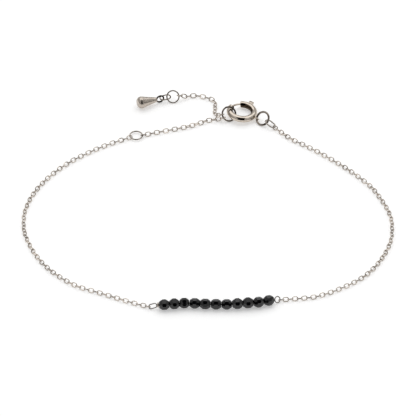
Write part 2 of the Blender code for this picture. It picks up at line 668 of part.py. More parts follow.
def main():
    clear_scene()
    bracelet = bpy.data.objects.new("bracelet", None)
    bpy.context.scene.collection.objects.link(bracelet)

    # The clasp leans on the hook ring's wire at one side and lies on the surface at the other
    hook_radius = (HOOK_RING - HOOK_RING_WIRE) / 2
    hook_height = HOOK_RING_WIRE / 2 + hook_radius * math.cos(HOOK_LEAN)
    raised = hook_height - HOOK_LIFT * math.cos(HOOK_LEAN)
    clasp_tip = math.asin((raised - CLASP_TUBE / 2) / (2 * CLASP_RADIUS))
    hook_way = Vector((math.cos(HOOK_ANGLE), math.sin(HOOK_ANGLE), 0))
    hook_side = Vector((-math.sin(HOOK_ANGLE), math.cos(HOOK_ANGLE), 0))
    clasp_centre = Vector((CLASP_PLACE[0] * MM, CLASP_PLACE[1] * MM, (raised + CLASP_TUBE / 2) / 2))
    clasp_place = Matrix.Translation(clasp_centre) @ Matrix.Rotation(-clasp_tip, 4, hook_side)
    eye_point = make_clasp(clasp_place, bracelet)

    # Hook ring round the clasp's tube
    tube_point = clasp_centre + hook_way * CLASP_RADIUS
    hook_out = hook_radius - CLASP_TUBE / 2 - HOOK_RING_WIRE / 2 - HOOK_GAP
    hook_face = hook_side * math.cos(HOOK_LEAN) + Vector((0, 0, math.sin(HOOK_LEAN)))
    hook_centre = tube_point + hook_way * hook_out
    hook_uphill = hook_face.cross(hook_way)
    hook_centre += hook_uphill * (hook_height - hook_centre.z) / hook_uphill.z
    hook_place = facing(hook_centre, hook_face, hook_way)
    hook_ring = ring_mesh("hook_ring", HOOK_RING, HOOK_RING_WIRE)
    add_object("hook_ring", hook_ring, SILVER, bracelet, hook_place)

    # Thick ring through the clasp's eye, and the long ring between it and the right chain
    thick_radius = (CLASP_LINK - CLASP_LINK_WIRE) / 2
    thick_place = resting_ring(eye_point, CLASP_LINK_TURN, CLASP_LINK_ROLL, thick_radius, CLASP_LINK_WIRE)
    thick_ring = ring_mesh("clasp_link", CLASP_LINK, CLASP_LINK_WIRE)
    add_object("clasp_link", thick_ring, SILVER, bracelet, thick_place)
    held = on_ring(thick_place, thick_radius, CHAIN_LINK_HOLD)[0]
    held_way = (held - thick_place.translation).normalized()
    long_half = (CHAIN_LINK_LENGTH - CHAIN_LINK_WIRE) / 2
    long_near = held - held_way * ((CLASP_LINK_WIRE + CHAIN_LINK_WIRE) / 2 + HOLD_GAP)
    long_pull = sloped(CHAIN_LINK_TURN, CHAIN_REST - long_near.z, 2 * long_half)
    long_place = facing(long_near + long_pull * long_half, CHAIN_LINK_FACE, long_pull)
    long_link = oval_mesh("chain_link", CHAIN_LINK_LENGTH, CHAIN_LINK_WIDTH, CHAIN_LINK_WIRE)
    add_object("chain_link", long_link, SILVER, bracelet, long_place)

    # Size ring, lying level between the left chain and the adjuster chain
    size_radius = (SIZE_RING - SIZE_RING_WIRE) / 2
    size_centre = Vector((SIZE_RING_PLACE[0] * MM, SIZE_RING_PLACE[1] * MM, CHAIN_REST))
    size_place = Matrix.Translation(size_centre)
    size_ring = ring_mesh("size_ring", SIZE_RING, SIZE_RING_WIRE)
    add_object("size_ring", size_ring, SILVER, bracelet, size_place)

    # Drop ring, leaning towards the front with its lowest point on the surface
    drop_radius = (DROP_RING - DROP_RING_WIRE) / 2
    drop_face = Vector((0, -math.sin(DROP_RING_LEAN), math.cos(DROP_RING_LEAN)))
    drop_height = DROP_RING_WIRE / 2 + drop_radius * math.sin(DROP_RING_LEAN)
    drop_centre = Vector((DROP_RING_PLACE[0] * MM, DROP_RING_PLACE[1] * MM, drop_height))
    drop_ring_place = facing(drop_centre, drop_face, (1, 0, 0))
    drop_ring = ring_mesh("drop_ring", DROP_RING, DROP_RING_WIRE)
    add_object("drop_ring", drop_ring, SILVER, bracelet, drop_ring_place)

    # Drop, and the level link that holds its eye to the drop ring
    drop_way = Vector((math.cos(DROP_TURN), math.sin(DROP_TURN), 0))
    ring_left = on_ring(drop_ring_place, drop_radius, math.pi)[0]
    link_half = (DROP_LINK_LENGTH - DROP_LINK_WIRE) / 2
    spare = 2 * link_half - DROP_LINK_WIRE - (DROP_RING_WIRE + DROP_EYE_WIRE) / 2 - 2 * GAP
    apart = DROP_SLACK * spare
    eye_radius = (DROP_EYE - DROP_EYE_WIRE) / 2
    eye_height = eye_radius / math.cos(math.pi / RING_SIDES) + DROP_EYE_WIRE / 2
    drop_eye = Vector((ring_left.x, ring_left.y, eye_height)) - drop_way * (apart + eye_radius)
    make_drop(drop_eye, bracelet)
    link_centre = (drop_eye + drop_way * eye_radius + ring_left) / 2
    link_place = facing(link_centre, (0, 0, 1), drop_way)
    drop_link = oval_mesh("drop_link", DROP_LINK_LENGTH, DROP_LINK_WIDTH, DROP_LINK_WIRE)
    add_object("drop_link", drop_link, SILVER, bracelet, link_place)

    make_beads(bracelet)
    left_eye, right_eye = make_thread(bracelet)

    on_hook_tail = on_ring(hook_place, hook_radius, TAIL_ON_HOOK)
    on_hook_adjuster = on_ring(hook_place, hook_radius, ADJUSTER_ON_HOOK)
    on_drop_ring = on_ring(drop_ring_place, drop_radius, TAIL_ON_DROP_RING)
    on_size_left = on_ring(size_place, size_radius, CHAIN_ON_SIZE_RING)
    on_size_right = on_ring(size_place, size_radius, ADJUSTER_ON_SIZE_RING)
    on_long_link = on_ring(long_place, long_half, 0.0)
    linked_chain("tail_chain", on_hook_tail, HOOK_RING_WIRE, on_drop_ring, DROP_RING_WIRE,
                 TAIL_ROUTE, bracelet)
    linked_chain("adjuster_chain", on_size_right, SIZE_RING_WIRE, on_hook_adjuster, HOOK_RING_WIRE,
                 ADJUSTER_ROUTE, bracelet)
    chain_tube("left_chain", on_size_left, SIZE_RING_WIRE, left_eye, EYE_LOOP_WIRE, LEFT_ROUTE, bracelet)
    chain_tube("right_chain", on_long_link, CHAIN_LINK_WIRE, right_eye, EYE_LOOP_WIRE, RIGHT_ROUTE, bracelet)

    settle(bracelet)


main()
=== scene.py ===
"""Fine cable chain bracelet with a bar of faceted black beads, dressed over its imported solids.

Metres, +Z up, the surface that the bracelet lies on is z = 0. The front is towards -Y.
"""
import json
import math
import random

import bmesh
import bpy
import numpy as np
from mathutils import Matrix, Vector


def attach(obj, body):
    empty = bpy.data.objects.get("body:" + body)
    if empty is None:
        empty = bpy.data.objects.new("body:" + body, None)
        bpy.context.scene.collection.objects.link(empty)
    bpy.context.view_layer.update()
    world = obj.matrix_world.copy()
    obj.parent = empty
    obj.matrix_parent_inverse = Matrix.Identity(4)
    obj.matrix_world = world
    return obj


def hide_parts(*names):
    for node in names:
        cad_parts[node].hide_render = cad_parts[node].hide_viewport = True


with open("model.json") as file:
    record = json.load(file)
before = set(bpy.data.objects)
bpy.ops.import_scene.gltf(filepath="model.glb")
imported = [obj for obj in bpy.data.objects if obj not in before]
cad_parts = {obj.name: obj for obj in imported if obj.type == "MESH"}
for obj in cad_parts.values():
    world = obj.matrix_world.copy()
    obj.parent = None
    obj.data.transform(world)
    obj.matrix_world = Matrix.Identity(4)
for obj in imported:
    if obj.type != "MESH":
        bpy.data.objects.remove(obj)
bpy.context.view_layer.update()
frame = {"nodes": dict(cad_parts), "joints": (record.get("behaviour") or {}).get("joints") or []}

MM = 0.001
NODES = frame["nodes"]
GATE_JOINT = frame["joints"][0]

# The routes are written from the middle of the photograph; the solids are centred on their footprint
CLASP_PLACE = (6.12 * MM, 25.32 * MM)
SETTLE = Vector((GATE_JOINT["pos_m"][0] - CLASP_PLACE[0], GATE_JOINT["pos_m"][1] - CLASP_PLACE[1], 0.0))

# Camera: its height angle, its distance, the width that it shows and where it aims
CAMERA_LIFT = math.radians(41)
CAMERA_DISTANCE = 3.0
FRAME_WIDTH = 74.55 * MM
CAMERA_AIM = Vector((0.0, -0.19 * MM, 0.0))
SENSOR_WIDTH = 36.0
CAMERA_CLIP = (0.05, 20.0)

# Edges that bend by more than this are drawn sharp
SHARP_ANGLE = math.radians(35)

# Cable chain: oval links, one like the next, lying at 45 degrees to the surface by turns
LINK_PITCH = 0.84 * MM
LINK_WIDTH = 0.90 * MM
LINK_WIRE = 0.18 * MM
LINK_SLACK = 0.01 * MM
LINK_FUSE = 0.03 * MM
LINK_SIDES = 24
LINK_WIRE_SIDES = 10
LINK_ROLL = math.radians(45)
LINK_ROLL_JITTER = math.radians(7)
LINK_TILT_JITTER = math.radians(3)
HOLD_GAP = 0.08 * MM
CHAIN_SEED = 5
CHAIN_REST = (LINK_WIDTH - LINK_WIRE) / 2 * math.sin(LINK_ROLL) + LINK_WIRE / 2

# Routes in plan, in mm; a third value is how far the chain is held up off the surface
LEFT_ROUTE = [(-17.29, 17.20), (-20.77, 15.09), (-24.75, 12.06), (-28.19, 8.34), (-30.99, 3.95),
              (-32.67, -0.86), (-32.99, -4.82), (-32.60, -8.29), (-30.75, -13.43), (-27.94, -17.74),
              (-23.84, -21.49), (-19.39, -23.59), (-14.59, -25.78), (-12.30, -26.75)]
RIGHT_ROUTE = [(14.64, 18.67), (17.02, 16.87), (20.07, 14.55), (24.73, 10.39), (28.32, 6.43),
               (30.16, 3.62), (32.33, -1.52), (32.94, -5.48), (32.56, -10.12), (30.59, -15.26),
               (27.67, -19.38), (23.66, -22.44), (19.52, -24.55), (16.45, -25.12), (14.55, -25.31)]
ADJUSTER_ROUTE = [(-10.39, 19.80), (-8.91, 20.26), (-7.37, 20.67), (-5.77, 21.13), (-4.18, 21.60),
                  (-2.74, 22.14), (-1.24, 22.85), (-0.16, 23.45), (1.00, 23.62), (1.75, 23.72, 0.12)]
TAIL_ROUTE = [(1.45, 24.85), (1.20, 26.10), (1.35, 27.75), (0.90, 29.15), (-0.10, 29.75),
              (-1.31, 30.15), (-2.47, 30.40), (-3.50, 30.10)]

# Where each chain holds its rings, as headings in plan or round the ring
HOOK_ANGLE = math.radians(207)
TAIL_ON_HOOK = math.radians(-14)
ADJUSTER_ON_HOOK = math.radians(20)
TAIL_ON_DROP_RING = math.radians(14)
CHAIN_ON_SIZE_RING = math.radians(206)
ADJUSTER_ON_SIZE_RING = math.radians(4)

# Jump rings: the wire of each one, which ones take a darker silver as painted dark reflection, how
# finely they are made and where each is cut
RING_WIRE = {"hook_ring": 0.30 * MM, "size_ring": 0.26 * MM, "clasp_link": 0.38 * MM,
             "chain_link": 0.25 * MM, "drop_ring": 0.25 * MM, "drop_link": 0.22 * MM}
SHADED_RINGS = ("hook_ring", "clasp_link", "drop_link")
RING_SIDES = 72
RING_WIRE_SIDES = 20
RING_CUT = 0.012 * MM
RING_CUT_START = 0.7
RING_CUT_STEP = 1.9
OVAL_LEAST = 0.1 * MM

# Spring ring clasp
CLASP_RADIUS = 2.20 * MM
CLASP_TUBE = 1.18 * MM
CLASP_BORE = 0.54 * MM
CLASP_SIDES = 40
# Painted shade: the clasp's inner wall fades to a dark tone between these two distances from its middle,
# for the dark reflection and shadow inside it
CLASP_INSIDE = (1.88 * MM, 2.04 * MM)
CLASP_INNER_SHADE = (0.10, 0.075, 0.055)
CLASP_STEP = math.radians(3)
GATE_START = math.radians(97)
GATE_END = math.radians(149)
GATE_TRAVEL = math.radians(55)
BOLT_WIRE = 0.36 * MM
BOLT_LAP = math.radians(3)
BOLT_TAIL = math.radians(50)
BORE_SPARE = math.radians(3)
LEVER_ANGLE = math.radians(59)
LEVER_REACH = 0.72 * MM
LEVER_WIDTH = 0.74 * MM
LEVER_HEIGHT = 0.40 * MM
LEVER_EDGE = 0.10 * MM
LEVER_EDGE_STEPS = 4
STEM_WIDTH = 0.40 * MM
STEM_HEIGHT = 0.26 * MM
STEM_CLEARANCE = 0.07 * MM
EYE_ANGLE = math.radians(-32)
EYE_HOLE = 0.54 * MM
EYE_WIRE = 0.24 * MM
EYE_SINK = 0.12 * MM
EYE_ROLL = math.radians(45)
RIM_ROUND = 0.10 * MM

# Beads on their thread
BEAD_DIAMETER = 1.86 * MM
BEAD_SPREAD = 0.025
BEAD_GAP = 0.05 * MM
STONE_GAP = 0.006 * MM
BEAD_SIDES = 10
BEAD_TABLE = 0.88
BEAD_TABLE_CORNER = 0.62
BEAD_BLANK = 2.6
BEAD_ROWS = [(0.0, 0.0, 1.0), (0.62, 0.5, 1.0), (1.08, 0.0, 0.5)]
BEAD_HOLE = 0.44 * MM
BEAD_EDGE = 0.010 * MM
BEAD_EDGE_STEPS = 2
BEAD_EDGE_LEAST = math.radians(12)
BEAD_SEED = 11
BEAD_JOINTS = [(-8.72, -27.56), (-6.88, -27.50), (-5.12, -27.16), (-3.32, -26.98), (-1.44, -27.24),
               (0.48, -27.36), (2.38, -27.34), (4.28, -27.40), (6.18, -27.14), (8.08, -27.00),
               (9.92, -26.66), (11.68, -26.02)]
THREAD_WIRE = 0.22 * MM
GAP = 0.03 * MM
LOOP_GAP = 0.14 * MM
COLLAR_DIAMETER = 0.96 * MM
COLLAR_WIRE = 0.30 * MM
EYE_LOOP_WIRE = 0.20 * MM
LEFT_LOOP_LENGTH = 1.70 * MM
LEFT_LOOP_WIDTH = 0.98 * MM
RIGHT_LOOP = 1.32 * MM
LEFT_LOOP_TURN = math.radians(176)
RIGHT_LOOP_TURN = math.radians(20)
LOOP_FACE = (0.0, -0.70, 0.70)

# Drop: a turned cone with a cast eye, lying on its side. Its outline is in shares of length and radius
DROP_LENGTH = 3.70 * MM
DROP_DIAMETER = 2.20 * MM
DROP_NECK = 0.96 * MM
DROP_EYE = 1.62 * MM
DROP_EYE_WIRE = 0.28 * MM
DROP_SIDES = 96
DROP_END_LAYER = 0.02 * MM
DROP_BUTTON = 0.225
DROP_BUTTON_STEPS = 14
DROP_FLAT = 0.40
DROP_CREASE = [(0.236, 0.985), (0.242, 0.955), (0.250, 0.955), (0.258, 0.972)]

# Silver finishes: the polished and the dull tone, the least and the most roughness, and the strength
# of the fine marks. Then the scale and the detail of each pattern, and how deep the marks go
SILVER_FINISH = ((0.62, 0.56, 0.50), (0.48, 0.43, 0.38), 0.22, 0.36, 0.30)
BRIGHT_FINISH = ((0.70, 0.63, 0.55), (0.53, 0.47, 0.41), 0.06, 0.14, 0.15)
CHAIN_FINISH = ((0.76, 0.69, 0.62), (0.44, 0.40, 0.36), 0.05, 0.14, 0.30)
RING_FINISH = ((0.52, 0.48, 0.44), (0.38, 0.35, 0.32), 0.04, 0.10, 0.15)
# A darker copy of the ring silver for some jump rings: painted dark reflection
RING_SHADE_FINISH = ((0.44, 0.39, 0.34), (0.11, 0.095, 0.08), 0.06, 0.14, 0.20)
# A near-black silver for the drop's eye: painted shade for the dark inside of the eye
EYE_SHADE_FINISH = ((0.10, 0.085, 0.07), (0.03, 0.025, 0.02), 0.10, 0.20, 0.20)
THREAD_FINISH = ((0.40, 0.38, 0.36), (0.26, 0.25, 0.24), 0.25, 0.40, 0.40)
TONE_GRAIN = (900.0, 3.0)
POLISH_GRAIN = (4200.0, 4.0)
MARK_GRAIN = (16000.0, 6.0)
MARK_DEPTH = 0.004 * MM

# Stone finish: its refraction, body tones and roughness, the scale and the detail of each pattern,
# and its polishing lines
STONE_IOR = 1.70
STONE_TONES = ((0.002, 0.002, 0.003), (0.008, 0.008, 0.010))
STONE_ROUGHNESS = (0.05, 0.16)
BODY_GRAIN = (1400.0, 5.0)
SMUDGE_GRAIN = (2600.0, 4.0)
LINE_GRAIN = 9000.0
LINE_WAVER = 1.5
LINE_STRENGTH = 0.05
LINE_DEPTH = 0.001 * MM

# The part of its range that noise mostly keeps to
NOISE_SPAN = (0.35, 0.65)

# Light: a soft box in a pale tent, which is a little brighter at the front and the back than overhead.
# The tent is dark in a strip that opens at the front and in a low band along the front and the sides
BRIGHT_WAY = (0.0, 0.9, 0.436)
TENT_TONES = [(0.00, (0.95, 0.95, 0.95)), (0.50, (0.80, 0.80, 0.80)), (1.00, (0.95, 0.95, 0.95))]
TENT_STRENGTH = 0.52
OPENING_TONE = (0.006, 0.006, 0.006)
OPENING_SIDES = (0.34, 0.40)
OPENING_BACK = (0.00, 0.20)
BAND_TOP = (0.12, 0.24)
BAND_BACK = (0.00, 0.45)
SOFT_BOX_PLACE = (0.0, 0.45, 1.0)
SOFT_BOX_SIZE = (1.7, 1.3)
SOFT_BOX_POWER = 4.8

# The table that the bracelet lies on
TABLE_TONE = (0.93, 0.93, 0.93)
TABLE_ROUGHNESS = 0.7
TABLE_GLOW = 0.34
TABLE_REACH = 3.0
TABLE_DROP = 0.01 * MM


def rough_field(nodes, links, scale, detail):
    """Noise in the piece's own metres, for wear and polish."""
    place = nodes.new("ShaderNodeTexCoord")
    noise = nodes.new("ShaderNodeTexNoise")
    noise.inputs["Scale"].default_value = scale
    noise.inputs["Detail"].default_value = detail
    links.new(place.outputs["Object"], noise.inputs["Vector"])
    return noise


def spread(nodes, links, source, low, high):
    """Map noise on to a range of values."""
    reach = nodes.new("ShaderNodeMapRange")
    reach.inputs["From Min"].default_value = NOISE_SPAN[0]
    reach.inputs["From Max"].default_value = NOISE_SPAN[1]
    reach.inputs["To Min"].default_value = low
    reach.inputs["To Max"].default_value = high
    links.new(source, reach.inputs["Value"])
    return reach.outputs["Result"]


def silver_material(name, bright, dull, rough_low, rough_high, bump):
    """Polished metal: tone and polish vary softly, with fine rubbing marks in the bump."""
    material = bpy.data.materials.new(name)
    material.use_nodes = True
    nodes, links = material.node_tree.nodes, material.node_tree.links
    shader = nodes["Principled BSDF"]
    shader.inputs["Metallic"].default_value = 1.0
    clouds = rough_field(nodes, links, *TONE_GRAIN)
    tone = nodes.new("ShaderNodeMix")
    tone.data_type = "RGBA"
    tone.inputs["A"].default_value = (*dull, 1.0)
    tone.inputs["B"].default_value = (*bright, 1.0)
    links.new(spread(nodes, links, clouds.outputs["Fac"], 0.0, 1.0), tone.inputs["Factor"])
    links.new(tone.outputs["Result"], shader.inputs["Base Color"])
    polish = rough_field(nodes, links, *POLISH_GRAIN)
    roughness = spread(nodes, links, polish.outputs["Fac"], rough_low, rough_high)
    links.new(roughness, shader.inputs["Roughness"])
    marks = rough_field(nodes, links, *MARK_GRAIN)
    relief = nodes.new("ShaderNodeBump")
    relief.inputs["Strength"].default_value = bump
    relief.inputs["Distance"].default_value = MARK_DEPTH
    links.new(marks.outputs["Fac"], relief.inputs["Height"])
    links.new(relief.outputs["Normal"], shader.inputs["Normal"])
    return material


def falling(nodes, links, source, ends):
    """A value of one below the first of the two ends, none above the second, and smooth between them."""
    fall = nodes.new("ShaderNodeMapRange")
    fall.interpolation_type = "SMOOTHSTEP"
    fall.inputs["From Min"].default_value = ends[0]
    fall.inputs["From Max"].default_value = ends[1]
    fall.inputs["To Min"].default_value = 1.0
    fall.inputs["To Max"].default_value = 0.0
    links.new(source, fall.inputs["Value"])
    return fall.outputs["Result"]


def tarnish_inside(material, centre, ends, tone):
    """Paint shade on a ring's inner side: its base colour falls to a dark tone there, as painted dark
    reflection and shadow inside the ring.
    """
    nodes, links = material.node_tree.nodes, material.node_tree.links
    base = nodes["Principled BSDF"].inputs["Base Color"]
    place = nodes.new("ShaderNodeTexCoord")
    away = nodes.new("ShaderNodeVectorMath")
    away.operation = "DISTANCE"
    away.inputs[1].default_value = centre
    links.new(place.outputs["Object"], away.inputs[0])
    mix = nodes.new("ShaderNodeMix")
    mix.data_type = "RGBA"
    mix.inputs["B"].default_value = (*tone, 1.0)
    links.new(falling(nodes, links, away.outputs["Value"], ends), mix.inputs["Factor"])
    links.new(base.links[0].from_socket, mix.inputs["A"])
    links.new(mix.outputs["Result"], base)


def stone_material(name):
    """Black spinel: a dense black body, glassy facets with faint polishing lines and smudges."""
    material = bpy.data.materials.new(name)
    material.use_nodes = True
    nodes, links = material.node_tree.nodes, material.node_tree.links
    shader = nodes["Principled BSDF"]
    shader.inputs["IOR"].default_value = STONE_IOR
    body = rough_field(nodes, links, *BODY_GRAIN)
    tone = nodes.new("ShaderNodeMix")
    tone.data_type = "RGBA"
    tone.inputs["A"].default_value = (*STONE_TONES[0], 1.0)
    tone.inputs["B"].default_value = (*STONE_TONES[1], 1.0)
    links.new(spread(nodes, links, body.outputs["Fac"], 0.0, 1.0), tone.inputs["Factor"])
    links.new(tone.outputs["Result"], shader.inputs["Base Color"])
    smudge = rough_field(nodes, links, *SMUDGE_GRAIN)
    links.new(spread(nodes, links, smudge.outputs["Fac"], *STONE_ROUGHNESS), shader.inputs["Roughness"])
    lines = nodes.new("ShaderNodeTexWave")
    lines.inputs["Scale"].default_value = LINE_GRAIN
    lines.inputs["Distortion"].default_value = LINE_WAVER
    place = nodes.new("ShaderNodeTexCoord")
    links.new(place.outputs["Object"], lines.inputs["Vector"])
    relief = nodes.new("ShaderNodeBump")
    relief.inputs["Strength"].default_value = LINE_STRENGTH
    relief.inputs["Distance"].default_value = LINE_DEPTH
    links.new(lines.outputs["Fac"], relief.inputs["Height"])
    links.new(relief.outputs["Normal"], shader.inputs["Normal"])
    return material


def circle_path(radius, sides):
    """Points at even steps round a flat circle."""
    angles = np.linspace(0.0, 2 * math.pi, sides, endpoint=False)
    return np.column_stack((radius * np.cos(angles), radius * np.sin(angles), np.zeros(sides)))


def arc_path(radius, start, end, step):
    """Points along a flat arc, no more than step apart."""
    count = max(2, math.ceil(abs(end - start) / step))
    angles = np.linspace(start, end, count + 1)
    return np.column_stack((radius * np.cos(angles), radius * np.sin(angles), np.zeros(count + 1)))


def oval_path(half_length, half_width, sides):
    """A closed path of two half circles joined by straight sides, long in X."""
    straight = half_length - half_width
    turns = np.linspace(-math.pi / 2, math.pi / 2, sides // 2)
    right = np.column_stack((straight + half_width * np.cos(turns), half_width * np.sin(turns),
                             np.zeros(len(turns))))
    return np.vstack((right, -right))


def sweep(path, radius, sides, closed):
    """A round wire along a flat path, as corners and faces; radius may differ at each point."""
    count = len(path)
    radii = np.broadcast_to(np.asarray(radius, dtype=float), (count,))
    before = np.roll(path, 1, axis=0)
    after = np.roll(path, -1, axis=0)
    if not closed:
        before[0] = 2 * path[0] - path[1]
        after[-1] = 2 * path[-1] - path[-2]
    heading = after - before
    heading = heading / np.linalg.norm(heading, axis=1)[:, None]
    outward = np.column_stack((heading[:, 1], -heading[:, 0], np.zeros(count)))
    turns = 2 * math.pi * np.arange(sides) / sides
    corners = (path[:, None, :] + outward[:, None, :] * (radii[:, None] * np.cos(turns))[:, :, None]
               + np.array((0.0, 0.0, 1.0)) * (radii[:, None] * np.sin(turns))[:, :, None]).reshape(-1, 3)
    faces = []
    for section in range(count if closed else count - 1):
        here, there = section * sides, ((section + 1) % count) * sides
        for side in range(sides):
            corner = (side + 1) % sides
            faces.append((here + side, there + side, there + corner, here + corner))
    if not closed:
        faces.append(tuple(range(sides)))
        faces.append(tuple(reversed(range((count - 1) * sides, count * sides))))
    return corners, faces


def moved(corners, place):
    """Corners carried to a placement."""
    turned = np.array(place)
    return corners @ turned[:3, :3].T + turned[:3, 3]


def joined(shapes):
    """One set of corners and faces from many."""
    corners, faces, first = [], [], 0
    for points, rings in shapes:
        corners.append(points)
        faces += [tuple(first + index for index in ring) for ring in rings]
        first += len(points)
    return np.vstack(corners), faces


def mesh_object(name, shape, material):
    """A smooth piece from corners and faces, with its hard edges kept sharp."""
    corners, faces = shape
    mesh = bpy.data.meshes.new(name)
    mesh.from_pydata([tuple(corner) for corner in corners], [], faces)
    work = bmesh.new()
    work.from_mesh(mesh)
    bmesh.ops.recalc_face_normals(work, faces=work.faces)
    work.to_mesh(mesh)
    work.free()
    mesh.shade_smooth()
    mesh.set_sharp_from_angle(angle=SHARP_ANGLE)
    mesh.materials.append(material)
    item = bpy.data.objects.new(name, mesh)
    bpy.context.scene.collection.objects.link(item)
    return item


def dress(item, slot_name, *nodes, body="bracelet"):
    """Attach a finished piece to the body that it moves with and hide the imported solids that it stands
    for; the finish name that it is given is not used.
    """
    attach(item, body)
    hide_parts(*nodes)


def guide(name, shape, place, material=None):
    """A hidden shape that cuts or joins another piece."""
    item = mesh_object(name, (moved(shape[0], place), shape[1]), material or SILVER)
    item.hide_render = True
    return item


def cut(item, other, operation="DIFFERENCE"):
    """Apply a Boolean and remove the shape that made it; what is joined on keeps its own finish."""
    modifier = item.modifiers.new("cut", "BOOLEAN")
    modifier.operation = operation
    modifier.solver = "EXACT"
    if operation == "UNION":
        modifier.material_mode = "TRANSFER"
    modifier.object = other
    depsgraph = bpy.context.evaluated_depsgraph_get()
    result = bpy.data.meshes.new_from_object(item.evaluated_get(depsgraph))
    item.modifiers.clear()
    item.data = result
    bpy.data.objects.remove(other, do_unlink=True)


def facing(centre, face, pull):
    """A placement at centre with X along pull and Z as near as it can be to face."""
    along = Vector(pull).normalized()
    upward = Vector(face)
    upward = (upward - along * upward.dot(along)).normalized()
    turned = Matrix((along, upward.cross(along), upward)).transposed().to_4x4()
    return Matrix.Translation(centre) @ turned


def sloped(turn, rise, reach):
    """The way that heads along turn in plan and climbs by rise over reach."""
    climb = rise / reach
    level = math.sqrt(1 - climb ** 2)
    return Vector((math.cos(turn) * level, math.sin(turn) * level, climb))


def node_points(name):
    """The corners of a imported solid, each one once."""
    points = np.empty(len(NODES[name].data.vertices) * 3)
    NODES[name].data.vertices.foreach_get("co", points)
    return np.unique(np.round(points.reshape(-1, 3), 8), axis=0)


def ring_place(name):
    """Read a solid ring's placement: X along its longer way, Z square to its plane and upward."""
    points = node_points(name)
    centre = points.mean(axis=0)
    ways = np.linalg.svd(points - centre)[2]
    face = Vector(ways[2])
    if face.z < 0:
        face = -face
    spans = [np.ptp((points - centre) @ way) for way in ways]
    return facing(Vector(centre), face, Vector(ways[0])), spans[0], spans[1]


def ring_wire_point(name, way):
    """Where a round ring's wire lies towards way, and how the wire runs there."""
    place, length, _ = ring_place(name)
    face = place.to_3x3() @ Vector((0, 0, 1))
    outward = Vector(way)
    outward = (outward - face * outward.dot(face)).normalized()
    return place.translation + outward * (length - RING_WIRE[name]) / 2, face.cross(outward)


def chain_anchor(hold, wire, toward):
    """Where the row of links starts, so that the first link holds a ring's wire squarely."""
    point, tangent = hold
    heading = (toward - point).normalized()
    heading = (heading - tangent * heading.dot(tangent)).normalized()
    inward = wire / 2 + LINK_WIRE / 2 + HOLD_GAP
    reach = (LINK_PITCH + LINK_WIRE - LINK_FUSE) / 2
    return point - heading * (inward - reach + LINK_PITCH / 2)


def most_roll(roll, height):
    """A roll from level, no further than a link at this height can turn above the surface."""
    roll = (roll + math.pi / 2) % math.pi - math.pi / 2
    room = (height - LINK_WIRE / 2) / ((LINK_WIDTH - LINK_WIRE) / 2)
    most = math.asin(max(0.0, min(1.0, room)))
    return max(-most, min(most, roll))


def link_roll(along, tangent, height):
    """How far a link rolls from level to take a wire squarely through it."""
    level = Vector((-along.y, along.x, 0)).normalized()
    upright = along.cross(level)
    return most_roll(math.atan2(tangent.dot(level), tangent.dot(upright)), height)


def smooth_route(points, samples=24):
    """A smooth curve through the points, which never dips below where the chain lies."""
    padded = [points[0] * 2 - points[1]] + points + [points[-1] * 2 - points[-2]]
    curve = []
    for index in range(1, len(padded) - 2):
        before, start, end, after = padded[index - 1:index + 3]
        for step in range(samples):
            share = step / samples
            curve.append(0.5 * (2 * start + (end - before) * share
                                + (2 * before - 5 * start + 4 * end - after) * share ** 2
                                + (3 * start - before - 3 * end + after) * share ** 3))
    curve.append(points[-1].copy())
    for point in curve:
        point.z = max(point.z, CHAIN_REST)
    return curve


def curve_length(curve):
    """How long a curve of points is."""
    return sum((after - before).length for before, after in zip(curve, curve[1:]))


def even_points(curve, count):
    """Points at even steps along a curve."""
    lengths = np.concatenate(([0.0], np.cumsum([(after - before).length
                                                for before, after in zip(curve, curve[1:])])))
    steps = np.linspace(0.0, lengths[-1], count + 1)
    spots = np.array([tuple(point) for point in curve])
    return [Vector(spot) for spot in np.column_stack([np.interp(steps, lengths, spots[:, way])
                                                      for way in range(3)])]


def linked_chain(name, start_hold, start_wire, end_hold, end_wire, route, material):
    """A chain of real links from one ring's wire to another's, each link a quarter turn on."""
    middle = [Vector((spot[0] * MM, spot[1] * MM, CHAIN_REST + sum(spot[2:]) * MM)) + SETTLE
              for spot in route]
    start = chain_anchor(start_hold, start_wire, middle[0])
    end = chain_anchor(end_hold, end_wire, middle[-1])
    curve = smooth_route([start] + middle + [end])
    start_roll = link_roll((middle[0] - start).normalized(), start_hold[1], start_hold[0].z)
    end_roll = link_roll((end - middle[-1]).normalized(), end_hold[1], end_hold[0].z)
    exact = curve_length(curve) / LINK_PITCH
    count = round(exact)
    odd_needed = start_roll * end_roll > 0
    if (count % 2 == 1) != odd_needed:
        count += 1 if exact > count else -1
    joints = even_points(curve, count)
    pitch = curve_length(curve) / count
    half_length = (pitch + LINK_WIRE + LINK_SLACK) / 2
    path = oval_path(half_length, (LINK_WIDTH - LINK_WIRE) / 2, LINK_SIDES)
    corners, faces = sweep(path, LINK_WIRE / 2, LINK_WIRE_SIDES, True)
    turn_back = math.copysign(math.pi / 2, start_roll)
    twist = end_roll - start_roll + (0 if odd_needed else turn_back)
    chance = random.Random(name + str(CHAIN_SEED))
    shapes = []
    for index in range(count):
        along = (joints[index + 1] - joints[index]).normalized()
        level = Vector((-along.y, along.x, 0)).normalized()
        roll = start_roll - turn_back * (index % 2) + twist * index / (count - 1)
        if 0 < index < count - 1:
            roll += chance.gauss(0, LINK_ROLL_JITTER)
            along = (along + level * math.tan(chance.gauss(0, LINK_TILT_JITTER))).normalized()
        roll = most_roll(roll, min(joints[index].z, joints[index + 1].z))
        face = level * math.sin(roll) + along.cross(level) * math.cos(roll)
        centre = (joints[index] + joints[index + 1]) / 2
        shapes.append((moved(corners, facing(centre, face, along)), faces))
    chain = mesh_object(name + "_links", joined(shapes), material)
    dress(chain, "silver", name)


